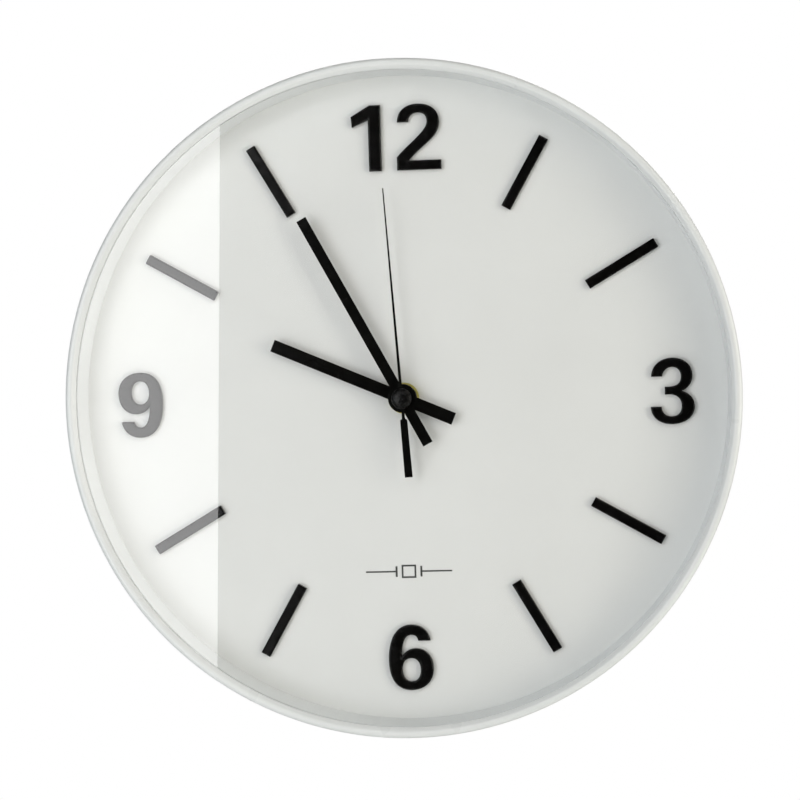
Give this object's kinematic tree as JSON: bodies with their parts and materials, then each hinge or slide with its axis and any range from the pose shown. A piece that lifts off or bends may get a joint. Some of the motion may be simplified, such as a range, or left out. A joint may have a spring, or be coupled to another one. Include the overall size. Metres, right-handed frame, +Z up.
{
  "type": "wall clock",
  "caption": "Round white wall clock with raised numerals and bars, three hands, a deep glazed case and a battery quartz movement behind the dial.",
  "frame": {"origin": "where the clock's axis meets the wall plane", "axes": "+Y into the wall, -Y towards the viewer, +Z up to the 12, +X towards the 3"},
  "size_m": [0.3, 0.044, 0.3],
  "materials": {
    "white_plastic": "smooth moulded white, satin gloss",
    "clear_lens": "clear flat pane",
    "dial_face": "fine matt off-white",
    "gloss_black": "glossy black moulded",
    "hand_black": "black painted sheet",
    "brass": "turned, lightly lacquered",
    "steel": "pressed sheet, zinc plated",
    "rubber": "soft black",
    "movement_black": "moulded black, fine spark texture",
    "gear_plastic": "natural acetal",
    "board": "brown laminate",
    "copper": "enamelled copper wire",
    "cell_sleeve": "plain printed sleeve without lettering"
  },
  "bodies": {
    "case": {"case_body": "white_plastic", "front_bezel": "white_plastic", "inner_ring": "white_plastic", "lens": "clear_lens", "dial_plate": "dial_face", "hanger_plate": "steel", "hanger_screw_left": "steel", "hanger_screw_right": "steel", "numeral_12_one": "gloss_black", "numeral_12_two": "gloss_black", "numeral_3": "gloss_black", "numeral_6": "gloss_black", "numeral_9": "gloss_black", "hour_bar_01": "gloss_black", "hour_bar_02": "gloss_black", "hour_bar_04": "gloss_black", "hour_bar_05": "gloss_black", "hour_bar_07": "gloss_black", "hour_bar_08": "gloss_black", "hour_bar_10": "gloss_black", "hour_bar_11": "gloss_black", "threaded_bushing": "brass", "nut_washer": "brass", "brass_nut": "brass", "rubber_gasket": "rubber", "movement_front_housing": "movement_black", "movement_rear_housing": "movement_black", "contact_positive": "steel", "contact_negative": "steel", "circuit_board": "board", "sealed_chip": "movement_black", "quartz_can": "steel", "stator": "steel", "coil_bobbin": "gear_plastic", "coil_winding": "copper"},
    "minute_train": {"centre_wheel": "gear_plastic", "minute_hand": "hand_black"},
    "hour_train": {"hour_wheel": "gear_plastic", "hour_hand": "hand_black"},
    "seconds_train": {"seconds_wheel": "gear_plastic", "second_hand": "hand_black", "second_hand_cap": "hand_black"},
    "third_train": {"third_wheel": "gear_plastic"},
    "intermediate_train": {"intermediate_wheel": "gear_plastic"},
    "rotor": {"rotor_pinion": "gear_plastic", "rotor_magnet": "steel"},
    "motion_train": {"motion_wheel": "gear_plastic"},
    "setting_train": {"setting_knob": "gear_plastic"},
    "battery": {"battery": "cell_sleeve"}
  },
  "joints": [
    {"name": "minute_hand_turn", "type": "hinge", "parent": "case", "child": "minute_train", "pos_m": [0, 0, 0], "axis": [0, 1, 0], "continuous": true},
    {"name": "hour_hand_turn", "type": "hinge", "parent": "case", "child": "hour_train", "pos_m": [0, 0, 0], "axis": [0, 1, 0], "continuous": true},
    {"name": "second_hand_turn", "type": "hinge", "parent": "case", "child": "seconds_train", "pos_m": [0, 0, 0], "axis": [0, 1, 0], "continuous": true},
    {"name": "third_wheel_turn", "type": "hinge", "parent": "case", "child": "third_train", "pos_m": [0.00862, 0, 0], "axis": [0, 1, 0], "continuous": true},
    {"name": "intermediate_wheel_turn", "type": "hinge", "parent": "case", "child": "intermediate_train", "pos_m": [-0.00634, 0, 0.00366], "axis": [0, 1, 0], "continuous": true},
    {"name": "rotor_turn", "type": "hinge", "parent": "case", "child": "rotor", "pos_m": [-0.01335, 0, 0.0049], "axis": [0, 1, 0], "continuous": true},
    {"name": "motion_wheel_turn", "type": "hinge", "parent": "case", "child": "motion_train", "pos_m": [0, 0, 0.00876], "axis": [0, 1, 0], "continuous": true},
    {"name": "setting_knob_turn", "type": "hinge", "parent": "case", "child": "setting_train", "pos_m": [-0.00438, 0, 0.01635], "axis": [0, 1, 0], "continuous": true},
    {"name": "battery_out", "type": "slide", "parent": "case", "child": "battery", "axis": [0, 1, 0], "range_m": [0, 0.022]}
  ],
  "couplings": [
    {"joint": "hour_hand_turn", "follows": "minute_hand_turn", "ratio": 0.083333},
    {"joint": "second_hand_turn", "follows": "minute_hand_turn", "ratio": 60},
    {"joint": "third_wheel_turn", "follows": "minute_hand_turn", "ratio": -8},
    {"joint": "intermediate_wheel_turn", "follows": "minute_hand_turn", "ratio": -300},
    {"joint": "rotor_turn", "follows": "minute_hand_turn", "ratio": 1800},
    {"joint": "motion_wheel_turn", "follows": "minute_hand_turn", "ratio": -0.33333},
    {"joint": "setting_knob_turn", "follows": "minute_hand_turn", "ratio": 1}
  ]
}
